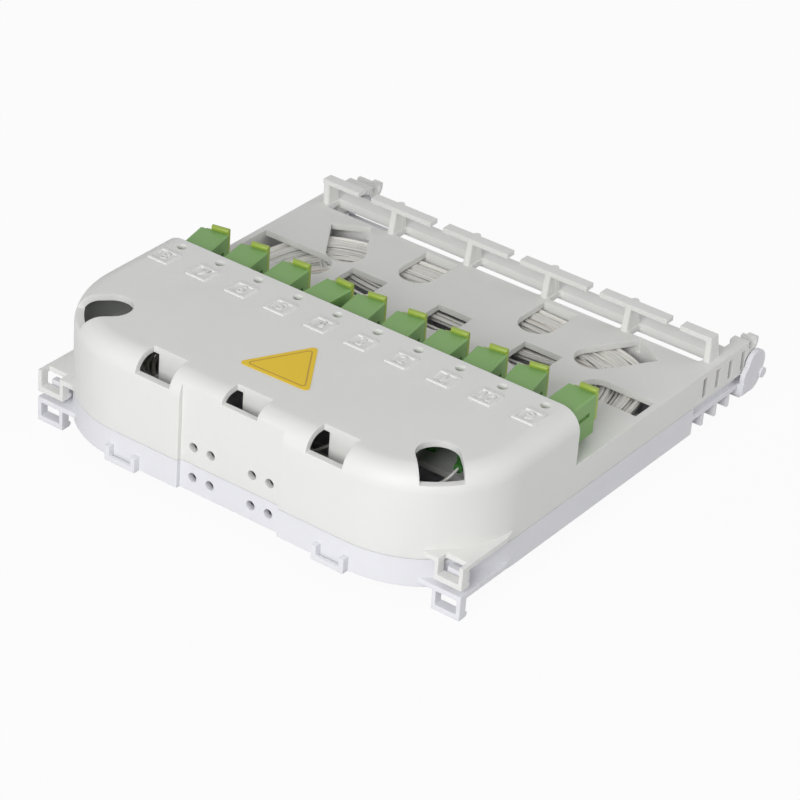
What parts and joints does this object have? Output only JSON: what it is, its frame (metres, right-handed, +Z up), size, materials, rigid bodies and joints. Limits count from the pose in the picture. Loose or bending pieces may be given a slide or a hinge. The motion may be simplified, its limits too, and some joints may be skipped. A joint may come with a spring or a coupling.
{
  "type": "fibre splice and patch cassette",
  "caption": "Hinged two-level fibre cassette: splice tray under a domed cover with a row of capped optical adapters, plate windows and a rear cord channel.",
  "frame": {"origin": "centre of the bounding box at the underside of the hanging latch loops", "axes": "+X along the adapter row to the right seen from the front, +Y from the hood to the hinge, +Z up"},
  "size_m": [0.1496, 0.1577, 0.0402],
  "materials": {
    "cover_white": "fine moulded satin",
    "tray_white": "fine moulded satin",
    "adapter_green": "moulded satin",
    "cap_lime": "soft gloss",
    "plug_green": "moulded satin",
    "boot_green": "soft matt",
    "fibre_cream": "smooth",
    "ceramic_white": "polished",
    "holder_grey": "moulded satin",
    "sleeve_clear": "smooth",
    "splitter_steel": "brushed",
    "sticker_yellow": "printed film"
  },
  "bodies": {
    "tray": {"splice_tray": "tray_white", "splice_holder": "holder_grey", "splice_sleeves": "sleeve_clear", "splitter": "splitter_steel", "splice_coil": "fibre_cream"},
    "cover": {"upper_cover": "cover_white", "sticker": "sticker_yellow", "patch_coil": "fibre_cream", "pigtails": "fibre_cream", "ferrules": "ceramic_white", "alignment_sleeves": "ceramic_white", "adapter_1": "adapter_green", "adapter_2": "adapter_green", "adapter_3": "adapter_green", "adapter_4": "adapter_green", "adapter_5": "adapter_green", "adapter_6": "adapter_green", "adapter_7": "adapter_green", "adapter_8": "adapter_green", "adapter_9": "adapter_green", "adapter_10": "adapter_green", "plug_1": "plug_green", "plug_2": "plug_green", "plug_3": "plug_green", "plug_4": "plug_green", "plug_5": "plug_green", "plug_6": "plug_green", "plug_7": "plug_green", "plug_8": "plug_green", "plug_9": "plug_green", "plug_10": "plug_green", "boot_1": "boot_green", "boot_2": "boot_green", "boot_3": "boot_green", "boot_4": "boot_green", "boot_5": "boot_green", "boot_6": "boot_green", "boot_7": "boot_green", "boot_8": "boot_green", "boot_9": "boot_green", "boot_10": "boot_green"},
    "cap_1": {"dust_cap_1": "cap_lime"},
    "cap_2": {"dust_cap_2": "cap_lime"},
    "cap_3": {"dust_cap_3": "cap_lime"},
    "cap_4": {"dust_cap_4": "cap_lime"},
    "cap_5": {"dust_cap_5": "cap_lime"},
    "cap_6": {"dust_cap_6": "cap_lime"},
    "cap_7": {"dust_cap_7": "cap_lime"},
    "cap_8": {"dust_cap_8": "cap_lime"},
    "cap_9": {"dust_cap_9": "cap_lime"},
    "cap_10": {"dust_cap_10": "cap_lime"}
  },
  "joints": [
    {"name": "cover_hinge", "type": "hinge", "parent": "tray", "child": "cover", "pos_m": [0, 0.07375, 0.015], "axis": [-1, 0, 0], "range_deg": [0, 95]},
    {"name": "cap_1_pull", "type": "slide", "parent": "cover", "child": "cap_1", "axis": [-0.2079, 0.9781, 0], "range_m": [0, 0.013]},
    {"name": "cap_2_pull", "type": "slide", "parent": "cover", "child": "cap_2", "axis": [-0.1633, 0.9866, 0], "range_m": [0, 0.013]},
    {"name": "cap_3_pull", "type": "slide", "parent": "cover", "child": "cap_3", "axis": [-0.0872, 0.9962, 0], "range_m": [0, 0.013]},
    {"name": "cap_4_pull", "type": "slide", "parent": "cover", "child": "cap_4", "axis": [0.0349, 0.9994, 0], "range_m": [0, 0.013]},
    {"name": "cap_5_pull", "type": "slide", "parent": "cover", "child": "cap_5", "axis": [-0.1564, 0.9877, 0], "range_m": [0, 0.013]},
    {"name": "cap_6_pull", "type": "slide", "parent": "cover", "child": "cap_6", "axis": [-0.1564, 0.9877, 0], "range_m": [0, 0.013]},
    {"name": "cap_7_pull", "type": "slide", "parent": "cover", "child": "cap_7", "axis": [-0.1045, 0.9945, 0], "range_m": [0, 0.013]},
    {"name": "cap_8_pull", "type": "slide", "parent": "cover", "child": "cap_8", "axis": [-0.1668, 0.986, 0], "range_m": [0, 0.013]},
    {"name": "cap_9_pull", "type": "slide", "parent": "cover", "child": "cap_9", "axis": [-0.1994, 0.9799, 0], "range_m": [0, 0.013]},
    {"name": "cap_10_pull", "type": "slide", "parent": "cover", "child": "cap_10", "axis": [-0.0279, 0.9996, 0], "range_m": [0, 0.013]}
  ]
}
